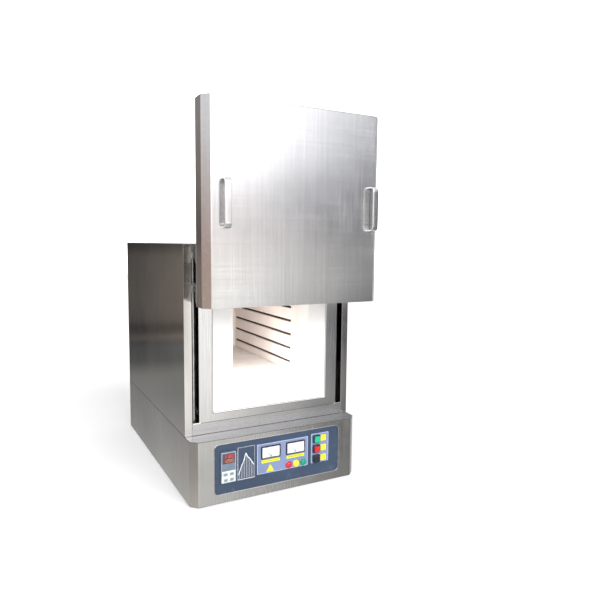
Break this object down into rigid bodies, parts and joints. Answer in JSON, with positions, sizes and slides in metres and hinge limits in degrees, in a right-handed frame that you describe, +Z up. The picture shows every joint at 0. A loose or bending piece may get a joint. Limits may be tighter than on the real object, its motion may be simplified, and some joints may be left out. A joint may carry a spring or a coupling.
{
  "type": "pottery kiln",
  "caption": "Front-loading stainless electric kiln: white fibre-lined chamber, counterbalanced vertically lifting door with strap handles, over a base with the control panel.",
  "frame": {"origin": "on the floor, under the middle of the overall box with the door raised", "axes": "+Z up, +X to the right when facing the door, -Y towards the user"},
  "size_m": [0.6, 1.072, 1.221],
  "materials": {
    "brushed_stainless": "satin",
    "polished_stainless": "polished",
    "zinc_plated_steel": "satin",
    "ceramic_fibre_board": "matte",
    "silicon_carbide": "matte",
    "resistance_wire": "matte",
    "alumina": "matte",
    "machined_steel": "satin",
    "wire_rope": "satin",
    "counterweight_paint": "matte",
    "panel_blue_grey": "satin",
    "plate_lavender": "satin",
    "black_plastic": "satin",
    "controller_grey": "satin",
    "display_window": "gloss",
    "key_grey": "satin",
    "needle_black": "matte",
    "meter_glass": "gloss",
    "lamp_red_lens": "gloss",
    "lamp_yellow_lens": "gloss",
    "lamp_green_lens": "gloss",
    "button_green_plastic": "gloss",
    "button_red_plastic": "gloss",
    "button_black_plastic": "gloss",
    "legend_yellow": "satin",
    "foot_rubber": "matte",
    "heatsink_aluminium": "satin",
    "screw_steel": "satin"
  },
  "bodies": {
    "cabinet": {"base_bottom_plate": "zinc_plated_steel", "base_deck": "brushed_stainless", "base_rear_panel": "brushed_stainless", "base_wrap": "brushed_stainless", "button_holders": "black_plastic", "cable_gland": "black_plastic", "control_panel_plate": "panel_blue_grey", "controller_display": "display_window", "cover_screws": "screw_steel", "feet": "foot_rubber", "front_sill": "brushed_stainless", "guide_rods": "machined_steel", "hearth_plate": "silicon_carbide", "heating_elements": "resistance_wire", "inner_case": "zinc_plated_steel", "instrument_plates": "plate_lavender", "lamp_green": "lamp_green_lens", "lamp_red": "lamp_red_lens", "lamp_yellow": "lamp_yellow_lens", "left_side_panel": "brushed_stainless", "legend_plates": "legend_yellow", "lift_ropes": "wire_rope", "lining_floor": "ceramic_fibre_board", "lining_left": "ceramic_fibre_board", "lining_rear": "ceramic_fibre_board", "lining_right": "ceramic_fibre_board", "lining_roof": "ceramic_fibre_board", "meter_case_left": "black_plastic", "meter_case_right": "black_plastic", "meter_lenses": "meter_glass", "mouth_block": "ceramic_fibre_board", "mouth_frame": "brushed_stainless", "power_unit": "heatsink_aluminium", "rear_cover": "brushed_stainless", "right_side_panel": "brushed_stainless", "shaft_bearings": "machined_steel", "temperature_controller": "controller_grey", "thermocouple": "alumina", "top_panel": "brushed_stainless"},
    "door": {"door_shell": "brushed_stainless", "door_board": "ceramic_fibre_board", "door_back_pan": "brushed_stainless", "door_plug": "ceramic_fibre_board", "handle_left": "polished_stainless", "handle_right": "polished_stainless", "door_arms_left": "machined_steel", "door_arms_right": "machined_steel"},
    "weight_left": {"counterweight_left": "counterweight_paint"},
    "weight_right": {"counterweight_right": "counterweight_paint"},
    "upper_pulleys": {"upper_shaft": "machined_steel"},
    "lower_pulleys": {"lower_shaft": "machined_steel"},
    "green_cap": {"button_green": "button_green_plastic"},
    "red_cap": {"button_red": "button_red_plastic"},
    "black_cap": {"button_black": "button_black_plastic"},
    "key_1": {"controller_key_1": "key_grey"},
    "key_2": {"controller_key_2": "key_grey"},
    "key_3": {"controller_key_3": "key_grey"},
    "key_4": {"controller_key_4": "key_grey"},
    "meter_needle_left": {"needle_left": "needle_black"},
    "meter_needle_right": {"needle_right": "needle_black"}
  },
  "joints": [
    {"name": "door_lift", "type": "slide", "parent": "cabinet", "child": "door", "axis": [0, 0, 1], "range_m": [-0.414, 0]},
    {"name": "weight_slide_left", "type": "slide", "parent": "cabinet", "child": "weight_left", "axis": [0, 0, 1], "range_m": [-0.0005, 0.4145]},
    {"name": "weight_slide_right", "type": "slide", "parent": "cabinet", "child": "weight_right", "axis": [0, 0, 1], "range_m": [-0.0005, 0.4145]},
    {"name": "upper_pulley_turn", "type": "hinge", "parent": "cabinet", "child": "upper_pulleys", "pos_m": [0, -0.232, 0.762], "axis": [1, 0, 0], "range_deg": [-1, 594]},
    {"name": "lower_pulley_turn", "type": "hinge", "parent": "cabinet", "child": "lower_pulleys", "pos_m": [0, -0.232, 0.256], "axis": [1, 0, 0], "range_deg": [-1, 594]},
    {"name": "green_button_press", "type": "slide", "parent": "cabinet", "child": "green_cap", "axis": [0, 1, 0], "range_m": [0, 0.004], "stiffness_N_per_m": 400, "springref_m": -0.005},
    {"name": "red_button_press", "type": "slide", "parent": "cabinet", "child": "red_cap", "axis": [0, 1, 0], "range_m": [0, 0.004], "stiffness_N_per_m": 400, "springref_m": -0.005},
    {"name": "black_button_press", "type": "slide", "parent": "cabinet", "child": "black_cap", "axis": [0, 1, 0], "range_m": [0, 0.004], "stiffness_N_per_m": 400, "springref_m": -0.005},
    {"name": "key_1_press", "type": "slide", "parent": "cabinet", "child": "key_1", "axis": [0, 1, 0], "range_m": [0, 0.0008], "stiffness_N_per_m": 150, "springref_m": -0.004},
    {"name": "key_2_press", "type": "slide", "parent": "cabinet", "child": "key_2", "axis": [0, 1, 0], "range_m": [0, 0.0008], "stiffness_N_per_m": 150, "springref_m": -0.004},
    {"name": "key_3_press", "type": "slide", "parent": "cabinet", "child": "key_3", "axis": [0, 1, 0], "range_m": [0, 0.0008], "stiffness_N_per_m": 150, "springref_m": -0.004},
    {"name": "key_4_press", "type": "slide", "parent": "cabinet", "child": "key_4", "axis": [0, 1, 0], "range_m": [0, 0.0008], "stiffness_N_per_m": 150, "springref_m": -0.004},
    {"name": "needle_left_swing", "type": "hinge", "parent": "cabinet", "child": "meter_needle_left", "pos_m": [-0.033, -0.3939, 0.1295], "axis": [0, 1, 0], "range_deg": [0, 88], "stiffness_Nm_per_rad": 0.0005},
    {"name": "needle_right_swing", "type": "hinge", "parent": "cabinet", "child": "meter_needle_right", "pos_m": [0.058, -0.3939, 0.1295], "axis": [0, 1, 0], "range_deg": [0, 88], "stiffness_Nm_per_rad": 0.0005}
  ],
  "couplings": [
    {"joint": "weight_slide_left", "follows": "door_lift", "ratio": -1},
    {"joint": "weight_slide_right", "follows": "door_lift", "ratio": -1},
    {"joint": "upper_pulley_turn", "follows": "door_lift", "rad_per_m": -25},
    {"joint": "lower_pulley_turn", "follows": "door_lift", "rad_per_m": -25}
  ]
}
